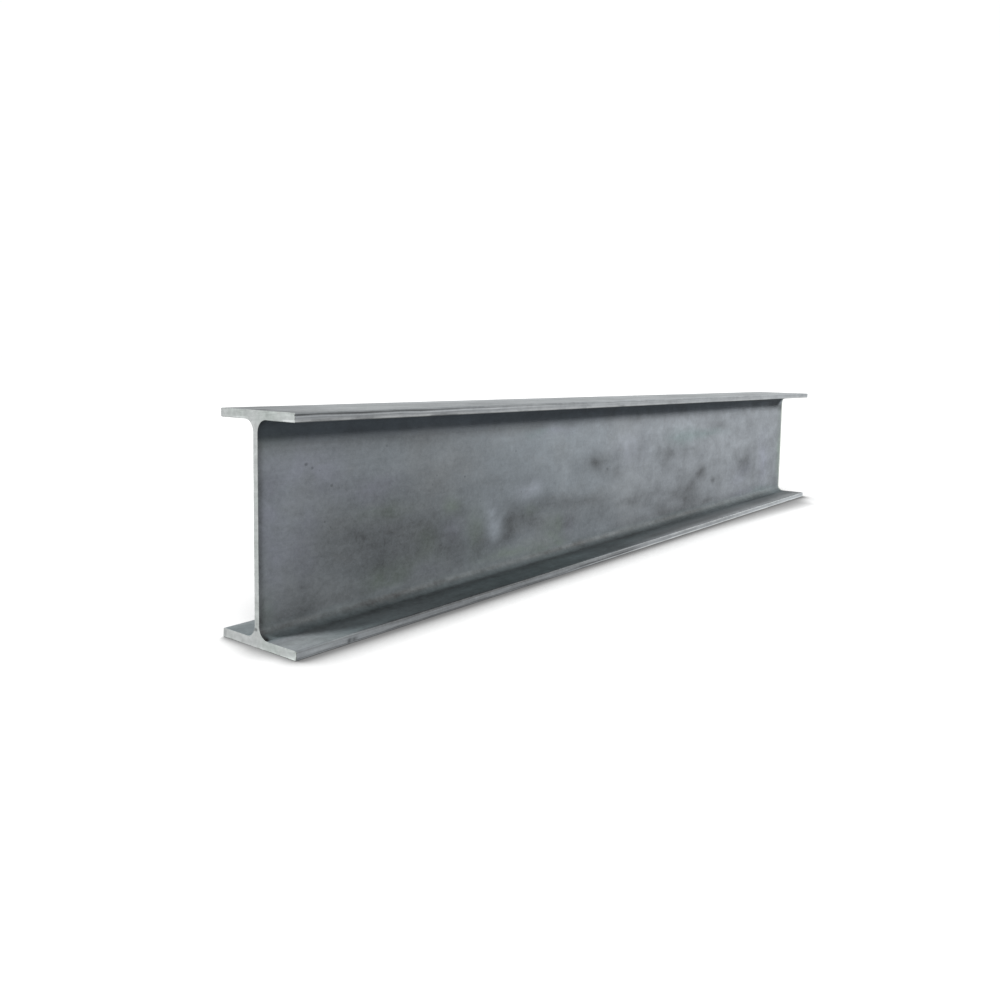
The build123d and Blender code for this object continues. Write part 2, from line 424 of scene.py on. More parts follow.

# soft stains on the faces, with a few entries of painted shade and painted light in the band under the top flange:
# distance from the near end, height or place across, half-lengths, strength (dark is positive, pale is negative)
web_stains_and_shade = [
    # the broad dark field low on the near half, and its darker hearts
    (150, 70, 115, 44, 0.30), (250, 62, 110, 40, 0.19), (90, 60, 50, 40, 0.11), (150, 78, 34, 20, 0.11),
    (150, 48, 34, 14, 0.14), (212, 78, 18, 16, 0.16), (255, 50, 14, 12, 0.16), (232, 52, 12, 12, 0.11),
    (298, 44, 14, 12, 0.16), (180, 118, 120, 16, 0.09), (100, 26, 110, 10, 0.11), (225, 120, 14, 6, 0.14),
    (215, 166, 40, 7, 0.12), (90, 134, 26, 8, 0.08), (290, 118, 40, 6, 0.09),
    # to the right of the pale flare
    (370, 66, 26, 17, 0.38), (350, 66, 9, 16, 0.28), (352, 50, 16, 10, 0.22), (398, 56, 22, 12, 0.16), (430, 78, 34, 9, 0.37),
    (490, 71, 50, 10, 0.31), (545, 67, 36, 9, 0.25), (620, 55, 36, 5, 0.23), (690, 58, 40, 7, 0.09),
    (455, 45, 30, 12, 0.18), (560, 40, 110, 22, 0.12), (672, 25, 26, 5, 0.15), (750, 34, 48, 18, 0.20),
    (505, 14, 16, 4, 0.22), (470, 110, 12, 8, -0.07), (520, 117, 26, 10, 0.14),
    # smudges higher up
    (543, 123, 15, 10, 0.48), (541, 117, 20, 14, 0.14), (549, 110, 8, 6, 0.16), (573, 107, 7, 5, 0.38), (600, 101, 16, 10, 0.32),
    (575, 94, 14, 6, 0.14), (585, 122, 26, 8, 0.11), (674, 138, 16, 12, 0.16), (684, 117, 22, 4, 0.15),
    (760, 117, 19, 9, 0.40), (782, 111, 12, 4, 0.11), (745, 140, 12, 12, 0.08), (720, 104, 30, 10, 0.07),
    (797, 83, 13, 3, 0.30), (838, 118, 28, 4, 0.21), (815, 47, 30, 13, 0.42), (817, 36, 8, 4, 0.22),
    (846, 30, 28, 14, 0.26), (800, 20, 60, 8, 0.16), (866, 72, 15, 8, 0.30), (880, 77, 17, 8, 0.56),
    (893, 66, 10, 6, 0.20), (926, 60, 10, 6, 0.60), (908, 27, 22, 4, 0.22), (955, 156, 22, 4, 0.16),
    (990, 108, 16, 8, 0.09), (1075, 70, 27, 15, 0.36), (948, 151, 34, 4, 0.16), (905, 143, 22, 4, 0.12), (1060, 84, 28, 9, 0.25), (1108, 82, 14, 8, 0.14),
    (1030, 24, 120, 8, 0.11), (1225, 70, 10, 50, 0.14), (1222, 30, 12, 9, 0.14),
    # pale flares and clean patches
    (327, 60, 11, 16, -0.42), (318, 72, 9, 12, -0.22), (312, 82, 11, 12, -0.20), (400, 98, 14, 10, -0.42), (379, 98, 13, 8, -0.24),
    (466, 117, 9, 8, -0.12), (330, 161, 20, 5, -0.12), (640, 148, 22, 14, -0.12), (560, 150, 70, 14, -0.07),
    (655, 96, 24, 18, -0.12), (740, 72, 26, 10, -0.10), (905, 126, 26, 10, -0.09), (985, 156, 26, 12, -0.12),
    (1030, 158, 20, 10, -0.09), (1070, 118, 60, 14, -0.07), (820, 130, 22, 5, -0.10), (800, 100, 24, 6, -0.07),
    (24, 100, 22, 60, -0.09), (425, 140, 60, 26, -0.07), (1180, 124, 14, 8, -0.09), (725, 148, 14, 5, -0.10),
    # and further mottling
    (560, 118, 16, 10, 0.15), (262, 88, 12, 9, 0.16), (400, 66, 20, 12, 0.14), (482, 50, 18, 9, 0.13), (850, 58, 22, 12, 0.17),
    (1052, 76, 22, 12, 0.15), (330, 43, 18, 9, 0.16), (560, 26, 30, 8, -0.14), (750, 28, 26, 7, 0.12), (404, 29, 16, 7, 0.13),
    (258, 30, 16, 7, 0.12), (150, 23, 34, 6, -0.13), (150, 64, 24, 14, -0.06), (655, 176, 22, 7, 0.34), (1130, 172, 40, 8, 0.05),
    (12, 142, 14, 14, 0.20), (80, 96, 40, 14, 0.12), (112, 82, 26, 14, 0.10), (200, 152, 24, 26, 0.14), (262, 143, 20, 12, 0.15),
    (330, 113, 18, 9, 0.13), (332, 40, 14, 9, 0.10), (400, 178, 24, 5, 0.22), (400, 112, 18, 9, 0.13), (402, 56, 16, 9, 0.10),
    (850, 27, 28, 7, -0.16), (560, 27, 34, 7, -0.12), (650, 27, 26, 10, 0.12), (950, 64, 18, 8, 0.17), (850, 66, 24, 12, 0.11),
    (560, 52, 24, 8, 0.14), (950, 152, 22, 8, 0.15), (400, 161, 60, 7, -0.09), (800, 157, 50, 7, -0.09), (1050, 84, 26, 10, 0.09),
    (1222, 58, 12, 16, -0.12), (1150, 24, 30, 5, 0.13), (130, 162, 80, 14, 0.10), (150, 136, 100, 9, 0.07), (40, 62, 28, 26, 0.09),
    (290, 44, 50, 12, 0.08), (200, 53, 18, 7, 0.12), (150, 100, 18, 7, 0.12), (560, 100, 14, 6, 0.10), (480, 78, 24, 6, 0.13),
    # the three long thin entries at height 190 are painted shade and painted light in the shadow band under the top
    # flange
    (850, 78, 24, 8, 0.12), (490, 190, 110, 3.5, 0.13), (560, 190, 60, 3.5, 0.10), (1185, 190, 60, 3.5, -0.24),
    (150, 22, 34, 6, -0.10), (480, 20, 30, 6, -0.10), (290, 37, 50, 7, 0.09), (260, 64, 14, 8, -0.08), (440, 52, 50, 6, 0.10),
    (1050, 32, 36, 14, 0.10), (650, 60, 26, 10, 0.11), (295, 148, 40, 10, 0.10), (60, 137, 18, 8, 0.10), (950, 148, 22, 8, 0.10),
    (800, 155, 60, 12, -0.08), (620, 137, 220, 8, -0.06), (750, 128, 24, 6, -0.09),
    (480, 178, 26, 5, 0.24), (484, 42, 20, 9, 0.10), (652, 55, 18, 9, 0.17), (800, 154, 60, 8, -0.13), (1050, 186, 42, 7, -0.22),
    (1050, 153, 24, 10, -0.15), (950, 130, 24, 12, -0.13), (1222, 100, 12, 36, -0.10), (482, 136, 16, 8, -0.13), (482, 101, 16, 5, -0.12),
]
web_olive = [(148, 102, 32, 7), (150, 36, 34, 11), (250, 95, 14, 10), (208, 60, 16, 18), (290, 58, 16, 26),
             (345, 26, 50, 7), (14, 186, 22, 10), (8, 30, 10, 20), (395, 72, 16, 6), (445, 46, 22, 14), (410, 18, 26, 8), (460, 24, 18, 6),
             (1242, 90, 15, 80), (182, 40, 42, 11), (436, 42, 26, 12, 0.5)]
web_lavender = [(14, 100, 14, 70), (62, 150, 40, 24), (322, 68, 16, 22, 0.35), (392, 98, 26, 12, 0.7), (135, 126, 36, 13), (46, 90, 18, 34), (250, 66, 14, 10),
                (205, 34, 24, 10), (1158, 76, 28, 46), (640, 130, 46, 24, 0.55), (1040, 52, 44, 26, 0.45), (1075, 70, 24, 14, 0.6), (1060, 22, 62, 7), (480, 44, 14, 12), (430, 168, 40, 5)]
web_teal = [(880, 142, 80, 6), (800, 140, 46, 12, 0.8), (1150, 20, 44, 6), (405, 168, 24, 4), (780, 14, 30, 5)]


def spread(shapes, px, pz):
    total = np.zeros(np.broadcast(px, pz).shape)
    warp_x = 6 * noise2(px / 30, pz / 20, 131, 3)
    warp_z = 4 * noise2(px / 26, pz / 16, 132, 3)
    for s_x, s_z, half_x, half_z, *k in shapes:
        total = total + (k[0] if k else 1.0) * np.exp(
            -((px + warp_x - s_x) / half_x) ** 2 - ((pz + warp_z - s_z) / half_z) ** 2)
    return total


here = on("web_front", "root_low_front", "root_top_front")[None, :]
back = on("web_back", "root_low_back", "root_top_back")[None, :]
tone = here * spread(web_stains_and_shade, from_near, z) + back * (
    0.22 * noise2(from_near / 120, z / 50, 141, 3) + 0.05)
flat = on("upper", "under", "low_front", "low_back", "top_in_front", "top_in_back")[None, :]
tone = tone + flat * 0.13 * noise2(from_near / 90, s / 22, 142, 3)
# painted shade on the top of the bottom flange in front of the web: painted darker, deepest in the root, lighter in a
# patch at the near end where light reaches in, and easing toward the outer edge and the far end
low_ledge = on("low_front", "root_low_front")[None, :] * ramp(-Y, 0.2, 2.4)[None, :]
outward = ramp(-Y, 14, 50)[None, :]
in_root = 1 - ramp(-Y, 12, 20)[None, :]
shade_eases_outward = ramp(from_near, 380, 900) * outward
ledge_shade = np.maximum(0.42 + 0.58 * ramp(from_near, 20, 74), 0.9 * in_root)
ledge_shade = ledge_shade * (1 - 0.34 * ramp(from_near, 500, 900) * (1 - in_root)) * (1 - 1.4 * shade_eases_outward) * (1 - 0.45 * ramp(from_near, 980, 1240) * (1 - in_root))
behind = on("low_back", "root_low_back")[None, :] * ramp(Y, 7, 16)[None, :] * (1 - ramp(from_near, 90, 240))
ledge = low_ledge * ledge_shade + behind * 0.55
tone = tone + 0.49 * low_ledge * ledge_shade + 0.15 * low_ledge * bell(-Y - 15.5, 7)[None, :] * (1 - 0.5 * ramp(from_near, 600, 900)) * ramp(from_near, 10, 50)
tone = tone + (on("low_back", "root_low_back")[None, :] * 0.16 - behind * 0.04)
# painted shade low on the front of the web, just above the lower root
tone = tone + on("web_front")[None, :] * (1 - ramp(Z, 20, 36))[None, :] * (0.13 + 0.05 * ramp(from_near, 600, 800))
edges = np.array([n.startswith("toe") for n in part])[None, :] * 1.0
low_toe, top_toe = on("toe_low_front")[None, :], on("toe_top_front")[None, :]
near_half = ramp(from_near, 60, 130) * (1 - ramp(from_near, 520, 700))
# the front edge of the bottom flange: darker over its near half and painted lighter toward the far end, painted light;
# its lowest part carries a painted highlight from mid-length on, and thin dark lines run along it in places
tone = tone + low_toe * (0.20 * near_half - 0.12 * (1 - ramp(from_near, 70, 150)) - 0.26 * ramp(from_near, 740, 1050) - 0.10 * ramp(from_near, 950, 1100))
tone = tone + low_toe * (0.12 * near_half * (1 - ramp(from_near, 300, 400)) - 0.55 * ramp(from_near, 360, 460)) * (1 - ramp(Z, 1.2, 2.6))[None, :]
tone = tone + low_toe * (0.42 * bell(Z - 3.1, 1.0)[None, :] * ramp(from_near, 410, 450) * (1 - ramp(from_near, 540, 610))
                         + 0.15 * bell(Z - 7.0, 1.2)[None, :] * ramp(from_near, 680, 740) * (1 - ramp(from_near, 950, 1010)))
tone = tone + low_toe * (0.22 * bell(Z - 2.6, 1.0)[None, :] * bell(from_near - 480, 48) - 0.24 * ramp(from_near, 880, 1140) * (1 - ramp(Z, 3.4, 5.4))[None, :])
tone = tone + top_toe * 0.14 * bell(Z - top_in - 1.5, 1.0)[None, :] * (1 - ramp(from_near, 140, 220))
tone = tone + top_toe * 0.34 * (1 - ramp(from_near, 150, 300)) * (1 - ramp(Z, top_in + 2.2, top_in + 3.8))[None, :]
tone = tone + edges * 0.10 * noise2(from_near / 60, s / 9, 143, 2)
# under the top flange the web is painted lighter, painted light lifting its shadow band, and from the middle on its
# skin is painted paler, painted light brightening the far half
tone = tone - here * 0.26 * bell(z - 185.5, 8) - on("web_front")[None, :] * 0.10 * ramp(from_near, 300, 620)
# a dark strip along the web's near end, and painted shadow carrying the band under the top flange lower over the near
# half
tone = tone + here * (0.42 * bell(from_near - 1.5, 3.6) + 0.18 * bell(z - 172, 6) * (1 - ramp(from_near, 200, 500)))
# painted shade: the web darker towards the bottom from about 370 mm on; then a little darker over its lower near part
tone = tone + on("web_front")[None, :] * 0.12 * (1 - ramp(z, 56, 84)) * ramp(from_near, 370, 430) * (1 - 0.5 * ramp(from_near, 900, 1150))
tone = tone + on("web_front")[None, :] * 0.09 * ramp(from_near, 30, 90) * (1 - ramp(from_near, 200, 300)) * (1 - ramp(z, 120, 150))
# painted shade over the upper front arris of the bottom flange on the near half, holding down its highlight
tone = tone + on("toe_low_front", "low_front")[None, :] * 0.48 * ramp(-Y, 48.2, 49.8)[None, :] * ramp(Z, 5.9, 6.9)[None, :] * (0.9 + 0.1 * ramp(from_near, 40, 90)) * (1 - ramp(from_near, 340, 460))
tone = tone + top_toe * 0.36 * ramp(Z, DEPTH - 1.4, DEPTH - 0.5)[None, :] * (1 - ramp(from_near, 330, 600))
# painted light and shade in places: the web darker near the near end and low down, a painted shadow wedge under the top
# flange at the far end, the shadow band under the top flange carried lower near the near end, and painted lighter below
# it
tone = tone + here * (0.22 * (1 - ramp(from_near, 40, 90)) * ramp(z, 10, 15) * (1 - ramp(z, 30, 60)) + 0.10 * (1 - ramp(from_near, 30, 80)) * (1 - ramp(z, 60, 150))
                      + 0.80 * ramp(from_near, 1200, 1236) * bell(z - 180, 10) + 0.13 * bell(z - 175, 6) * ramp(from_near, 50, 110) * (1 - ramp(from_near, 380, 460))
                      - 0.11 * bell(z - 157, 13) * ramp(from_near, 300, 400) * (1 - ramp(from_near, 860, 920)))
# painted light lifting the shadow band under the top flange at its lower edge, and near the flange over the near half
tone = tone - here * (0.15 + 0.22 * ramp(from_near, 560, 700)) * bell(z - 182.6, 3.2) * (1 - ramp(from_near, 1160, 1200))
tone = tone - here * 0.12 * bell(z - 189, 5) * (1 - ramp(from_near, 200, 420))
# painted shade over the highlight on the lower root fillet, and a little painted light in its corner
tone = tone + here * 0.15 * bell(z - 15.6, 3.4) * ramp(from_near, 60, 150) * (1 - ramp(from_near, 900, 1100))
tone = tone - on("root_low_front")[None, :] * 0.13 * bell(z - 9.7, 1.3) * bell(from_near - 260, 90)
# the far half is more mottled
tone = tone + on("web_front")[None, :] * ramp(from_near, 420, 760) * 0.15 * noise2(from_near / 30, z / 17, 151, 3)
# spots on the ledge: the pale ones near its outer edge over the far half, and those at the near end, are painted light
ledge_spots = [(150, 2, 90, 2.5, 0.20), (440, 2.2, 60, 1.6, 0.22), (410, 6, 140, 3.5, -0.17), (850, 13, 120, 4, -0.20),
               (650, 8, 40, 4, 0.12), (650, 38, 34, 5, 0.34), (780, 37, 110, 5, 0.13), (400, 44, 90, 4, 0.10), (100, 43, 40, 6, -0.28),
               (960, 46, 200, 5, -0.42), (1200, 43, 80, 8, -0.48), (1215, 10, 45, 7, -0.32), (1120, 5, 60, 3, 0.08),
               (800, 47, 260, 2.4, -0.20), (900, 35, 90, 4, 0.12), (1050, 29, 50, 5, 0.14), (560, 20, 30, 5, -0.18),
               (30, 36, 20, 18, 0.13), (400, 30, 50, 10, 0.08), (1215, 20, 40, 6, -0.14), (1150, 43, 60, 6, -0.16),
               (170, 12, 90, 4, 0.12), (410, 11, 40, 3, 0.14), (30, 10, 12, 4, -0.22), (650, 33, 30, 9, 0.10)]
for at, out, half_x, half_y, strength in ledge_spots:
    tone = tone + low_ledge * strength * bell(from_near - at, half_x) * bell(-y - out, half_y)
tone = tone + on("upper")[None, :] * (0.05 + 0.22 * (1 - ramp(from_near, 30, 100))
                                      + 0.10 * ramp(-Y, 40, 48)[None, :] * (1 - ramp(from_near, 200, 320)))
for at, across, half_x, half_y, strength in [(6, 2, 8, 10, 0.40), (6, -27, 8, 19, 0.18), (90, 28, 60, 14, 0.05), (16, -44, 10, 5, 0.12)]:
    tone = tone + on("upper")[None, :] * strength * bell(from_near - at, half_x) * bell(y - across, half_y)
tone = tone + top_toe * 0.13 * bell(Z - top_in - 1.3, 0.8)[None, :] * (1 - ramp(from_near, 900, 1100))
# painted shade colour: a cooler, darker tint in the shadow band under the top flange
cold = on("web_front", "root_top_front", "top_in_front")[None, :] * ramp(z, 176, 187) * (1 - 0.3 * ramp(from_near, 900, 1200))
olive = here * np.clip(spread(web_olive, from_near, z), 0, 1) + (1 - here) * ramp(noise2(from_near / 70, s / 26, 144, 2), 0.15, 0.8) * 0.6
teal = here * np.clip(spread(web_teal, from_near, z), 0, 1)
lavender = here * np.clip(spread(web_lavender, from_near, z), 0, 1) + (1 - here) * ramp(noise2(from_near / 80, s / 30, 145, 2), 0.2, 0.8) * 0.6


def store(name, per_column=None, per_grid=None):
    """Puts a value on every vertex: the stations get the grid's, the end rings their neighbour's."""
    values = np.zeros(len(verts))
    field = np.repeat(per_column[None, :], K, 0) if per_grid is None else np.broadcast_to(per_grid, (K, J))
    values[grid[2:-2]] = field
    values[grid[0]] = values[grid[1]] = field[0]
    values[grid[-1]] = values[grid[-2]] = field[-1]
    mesh.attributes.new(name, "FLOAT", "POINT").data.foreach_set("value", values.astype(np.float32))


store("wear_and_highlight", per_grid=wear_and_highlight)
store("edge_face", edge_face)
store("root", root)
store("groove", per_grid=groove)
store("tone", per_grid=tone)
store("olive", per_grid=olive)
store("lavender", per_grid=lavender)
store("teal", per_grid=teal)
store("ledge", per_grid=np.clip(ledge, 0, 1))
store("cold", per_grid=cold)
store("cool", per_grid=np.clip(ledge, 0, 1) * np.maximum(ramp(from_near, 140, 300) * ramp(-Y, 12, 20)[None, :], behind))
store("warm", per_grid=on("web_front")[None, :] * ramp(from_near, 420, 800) * 0.85)
end_edge = np.zeros(len(verts))
end_edge[grid[[0, 1, -2, -1]].ravel()] = 1.0
mesh.attributes.new("end_edge", "FLOAT", "POINT").data.foreach_set("value", end_edge.astype(np.float32))
# painted highlight: a pale rim along the far end of the web's front, with a wavy edge
rim = on("web_front", "root_low_front", "root_top_front")[None, :] * ramp(from_near + 1.1 * noise2(z / 9, from_near / 40, 161, 3), LENGTH - 5.9, LENGTH - 4.3)
store("rim", per_grid=rim)
# painted highlight along the lower arris of the bottom flange over its far half
store("bare", per_grid=on("toe_low_front")[None, :] * bell(Z - 0.5, 0.75)[None, :] * ramp(from_near, 430, 620) * (0.85 + 0.3 * noise2(from_near / 18, z / 3, 171, 2)))
web_face = ramp(Z, FLANGE + 4, FLANGE + 14) * (1 - ramp(Z, top_in - 14, top_in - 4))
store("web_face", web_face * on("web_back", "web_front", "root_low_back", "root_low_front", "root_top_back", "root_top_front"))
store("upper_face", on("upper"))
store("flange_face", on("upper", "under", "low_front", "low_back", "top_in_front", "top_in_back"))

beam = bpy.data.objects.new("beam_skin", mesh)
bpy.context.scene.collection.objects.link(beam)


# ---------------------------------------------------------------- materials
class Graph:
    """Short hands for building a node tree."""

    def __init__(self, material):
        material.use_nodes = True
        self.tree = material.node_tree
        self.tree.nodes.clear()

    def add(self, kind, inputs=None, **settings):
        node = self.tree.nodes.new(kind)
        for key, value in settings.items():
            setattr(node, key, value)
        for key, value in (inputs or {}).items():
            self.put(node.inputs[key], value)
        return node

    def put(self, socket, value):
        if isinstance(value, bpy.types.NodeSocket):
            self.tree.links.new(value, socket)
        else:
            socket.default_value = value

    def math(self, operation, first, second=0.0, third=None, clamp=False):
        node = self.tree.nodes.new("ShaderNodeMath")
        node.operation, node.use_clamp = operation, clamp
        self.put(node.inputs[0], first)
        self.put(node.inputs[1], second)
        if third is not None:
            self.put(node.inputs[2], third)
        return node.outputs[0]

    def span(self, value, a, b, c=0.0, d=1.0, kind="SMOOTHSTEP"):
        node = self.add("ShaderNodeMapRange", {0: value, 1: a, 2: b, 3: c, 4: d}, interpolation_type=kind)
        return node.outputs[0]

    def value(self, name):
        return self.add("ShaderNodeAttribute", attribute_name=name).outputs["Fac"]

    def place(self, vector, scale, move=(0, 0, 0)):
        return self.add("ShaderNodeMapping", {"Vector": vector, "Location": move, "Scale": scale}).outputs[0]

    def noise(self, vector, scale, detail=2.0, rough=0.5, distortion=0.0):
        return self.add("ShaderNodeTexNoise", {"Vector": vector, "Scale": scale, "Detail": detail,
                                               "Roughness": rough, "Distortion": distortion}).outputs["Fac"]

    def blend(self, factor, first, second, kind="MIX"):
        node = self.add("ShaderNodeMix", data_type="RGBA", blend_type=kind)
        self.put(node.inputs[0], factor)
        self.put(node.inputs[6], first)
        self.put(node.inputs[7], second)
        return node.outputs[2]

    def scaled(self, colour, factor):
        node = self.add("ShaderNodeVectorMath", {0: colour}, operation="SCALE")
        self.put(node.inputs["Scale"], factor)
        return node.outputs[0]


# pits in the front of the web: distance from the near end, height, radius in mm, how dark
PITS = [
    (51, 156, 1.9, 0.60), (58, 152, 1.8, 0.50), (66, 149, 1.0, 0.35), (80, 134, 1.8, 0.50), (89, 131, 1.2, 0.40),
    (72, 101, 1.5, 0.45), (79, 95, 1.3, 0.40), (119, 102, 1.4, 0.40), (217, 121, 1.6, 0.40), (224, 130, 1.1, 0.40),
    (269, 125, 1.6, 0.50), (231, 54, 1.6, 0.55), (237, 49, 1.8, 0.50), (243, 56, 1.3, 0.40), (232, 44, 1.3, 0.40),
    (197, 54, 1.3, 0.40), (68, 69, 1.2, 0.35), (374, 97, 1.5, 0.35), (572, 108, 2.0, 0.45), (135, 71, 1.6, 0.35),
]


def rolled_steel():
    material = bpy.data.materials.new("rolled_steel")
    g = Graph(material)
    where = g.add("ShaderNodeTexCoord").outputs["Object"]
    web, flange, edge_side = g.value("web_face"), g.value("flange_face"), g.value("edge_face")
    wear_and_highlight_at, root_at, groove_at, tone_at = g.value("wear_and_highlight"), g.value("root"), g.value("groove"), g.value("tone")

    # cloudy tone of mill scale, from hand-sized clouds to thumb-sized blotches
    cloud = g.noise(g.place(where, (0.6, 1, 1), (0.31, 0.17, 0.05)), 11, 5, 0.55, 0.4)
    blotch = g.noise(g.place(where, (0.7, 1, 1), (1.3, 0.4, 0.9)), 46, 4, 0.6, 0.5)
    # marks drawn out along the length by the rolls, and faint run marks down the web
    streak = g.noise(g.place(where, (0.045, 1, 1), (0.7, 0.1, 0.2)), 330, 3, 0.55)
    wide_streak = g.noise(g.place(where, (0.05, 1, 1), (2.7, 0.6, 0.4)), 85, 3, 0.5)
    run = g.noise(g.place(where, (1, 1, 0.09), (0.2, 3.1, 0.8)), 95, 3, 0.5)
    grain = g.noise(where, 850, 3, 0.6)
    speck = g.noise(where, 330, 2, 0.6)
    mottle = g.noise(g.place(where, (0.8, 1, 1), (0.9, 1.9, 1.1)), 150, 4, 0.62, 0.6)

    shade = g.math("MULTIPLY_ADD", g.math("SUBTRACT", cloud, 0.5), 0.60, 1.0)
    shade = g.math("MULTIPLY_ADD", g.math("SUBTRACT", blotch, 0.5), 0.55, shade)
    shade = g.math("MULTIPLY_ADD", g.math("SUBTRACT", streak, 0.5), 0.10, shade)
    shade = g.math("MULTIPLY_ADD", g.math("SUBTRACT", wide_streak, 0.5), 0.14, shade)
    shade = g.math("MULTIPLY_ADD", g.math("SUBTRACT", mottle, 0.5), 0.46, shade)
    down = g.math("MULTIPLY", g.math("SUBTRACT", run, 0.5), web)
    shade = g.math("MULTIPLY_ADD", down, 0.09, shade)
    shade = g.math("MULTIPLY_ADD", g.math("SUBTRACT", grain, 0.5), 0.30, shade)
    shade = g.math("MULTIPLY_ADD", g.math("SUBTRACT", speck, 0.5), 0.26, shade)

    # stains and painted light and shade: the stored tone field, its edge broken up by the blotches
    broken = g.math("MULTIPLY_ADD", g.math("SUBTRACT", blotch, 0.5), 1.5, 1.0)
    stain = g.math("MULTIPLY", tone_at, broken)
    shade = g.math("SUBTRACT", shade, stain)

    blue = (0.124, 0.142, 0.157, 1)
    skin = g.blend(g.span(cloud, 0.35, 0.68), blue, (0.131, 0.144, 0.153, 1))
    skin = g.blend(g.value("warm"), skin, (0.1312, 0.143, 0.1555, 1))
    skin = g.blend(g.math("MULTIPLY", g.value("olive"), g.span(blotch, 0.3, 0.7, 0.4, 1.0)), skin, (0.119, 0.146, 0.133, 1))
    skin = g.blend(g.math("MULTIPLY", g.value("lavender"), g.span(blotch, 0.3, 0.7, 0.4, 1.0)), skin, (0.131, 0.141, 0.166, 1))
    skin = g.blend(g.math("MULTIPLY", g.value("teal"), 0.8), skin, (0.118, 0.150, 0.155, 1))
    # the cooler, darker tint of the painted shade in the band under the top flange
    skin = g.blend(g.math("MULTIPLY", g.value("cold"), 0.6), skin, (0.108, 0.136, 0.166, 1))
    # the ledge field is painted shade on the top of the bottom flange, with a darker bluish tint
    skin = g.blend(g.math("MULTIPLY", g.value("ledge"), 0.8), skin, (0.114, 0.142, 0.150, 1))
    skin = g.blend(g.math("MULTIPLY", g.value("cool"), 0.6), skin, (0.099, 0.145, 0.154, 1))
    # cleaner, paler skin on the flanges and on their edges, held back on the ledge, where the stored ledge field
    # carries painted shade
    flange = g.math("MULTIPLY", flange, g.math("MULTIPLY_ADD", g.value("ledge"), -0.9, 1.0))
    skin = g.blend(g.math("MULTIPLY", flange, 0.85), skin, (0.176, 0.184, 0.188, 1))
    skin = g.blend(g.math("MULTIPLY", edge_side, 0.9), skin, (0.170, 0.181, 0.190, 1))
    skin = g.scaled(skin, shade)

    # thin brown bloom in the roots and in odd spots
    bloom = g.noise(g.place(where, (0.5, 1, 1), (4.1, 2.2, 0.3)), 70, 4, 0.65)
    rust = g.math("MULTIPLY", g.span(bloom, 0.60, 0.72), g.math("MULTIPLY_ADD", root_at, 0.05, 0.05))
    skin = g.blend(rust, skin, (0.150, 0.120, 0.100, 1))
    # painted shade: the skin darkened in the roots between the web and the flanges
    skin = g.blend(g.math("MULTIPLY", root_at, 0.35), skin, g.scaled(skin, 0.62))

    # pits where scale has flaked off: the ones that can be told apart, then sparse faint ones
    pit = None
    for at, height, size, depth in PITS:
        away = g.add("ShaderNodeVectorMath", {0: g.place(where, (0.8, 1, 1)),
                     1: ((at - HALF) * 0.0008, WEB_FRONT / 1000, height / 1000)}, operation="DISTANCE").outputs["Value"]
        ragged = g.math("MULTIPLY_ADD", g.math("SUBTRACT", speck, 0.5), 0.0014, away)
        spot = g.span(ragged, size * 0.0003, size * 0.0011, depth, 0.0)
        pit = spot if pit is None else g.math("MAXIMUM", pit, spot)
    cell = g.add("ShaderNodeTexVoronoi", {"Vector": where, "Scale": 95.0, "Randomness": 1.0}, feature="F1")
    rare = g.span(cell.outputs["Color"], 0.84, 0.90)
    cluster = g.span(g.noise(g.place(where, (0.6, 1, 1), (7.7, 1.2, 3.3)), 16, 2, 0.5), 0.52, 0.62)
    faint = g.math("MULTIPLY", g.span(cell.outputs["Distance"], 0.05, 0.20, 0.45, 0.0), g.math("MULTIPLY", rare, cluster))
    pit = g.math("MAXIMUM", pit, faint)
    skin = g.blend(g.math("MULTIPLY", pit, 0.75), skin, (0.045, 0.048, 0.052, 1))

    # bright wear along the arrises, uneven, with the painted highlights on the front lower arrises; the lap and the
    # seam painted dark, painted shade of the crease along with dirt in it
    patchy = g.span(g.noise(g.place(where, (0.25, 1, 1), (1.9, 0.8, 5.5)), 130, 4, 0.6), 0.30, 0.66)
    worn_and_highlit = g.math("MULTIPLY", wear_and_highlight_at, g.math("MULTIPLY_ADD", patchy, 0.75, 0.15), clamp=True)
    skin = g.blend(g.math("MULTIPLY", worn_and_highlit, 0.72), skin, (0.360, 0.374, 0.378, 1))
    # painted highlight: the pale rim at the far end of the web's front
    skin = g.blend(g.math("MULTIPLY", g.value("rim"), 0.95), skin, (0.315, 0.334, 0.310, 1))
    # painted highlight on the lower arris of the bottom flange's far half
    skin = g.blend(g.math("MULTIPLY", g.value("bare"), 0.8, clamp=True), skin, (0.470, 0.486, 0.484, 1))
    skin = g.blend(g.math("MULTIPLY", groove_at, 0.85, clamp=True), skin, (0.040, 0.043, 0.046, 1))

    # gloss: scale is half dull, worn metal is smoother, pits and dirt are dull
    rough = g.math("MULTIPLY_ADD", g.math("SUBTRACT", blotch, 0.5), 0.26, 0.62)
    rough = g.math("MULTIPLY_ADD", g.math("SUBTRACT", cloud, 0.5), 0.22, rough)
    rough = g.math("MULTIPLY_ADD", g.math("SUBTRACT", grain, 0.5), 0.16, rough)
    rough = g.math("MULTIPLY_ADD", worn_and_highlit, -0.12, rough)
    rough = g.math("MULTIPLY_ADD", g.value("upper_face"), 0.24, rough)
    rough = g.math("MULTIPLY_ADD", g.math("MAXIMUM", pit, groove_at), 0.3, rough, clamp=True)

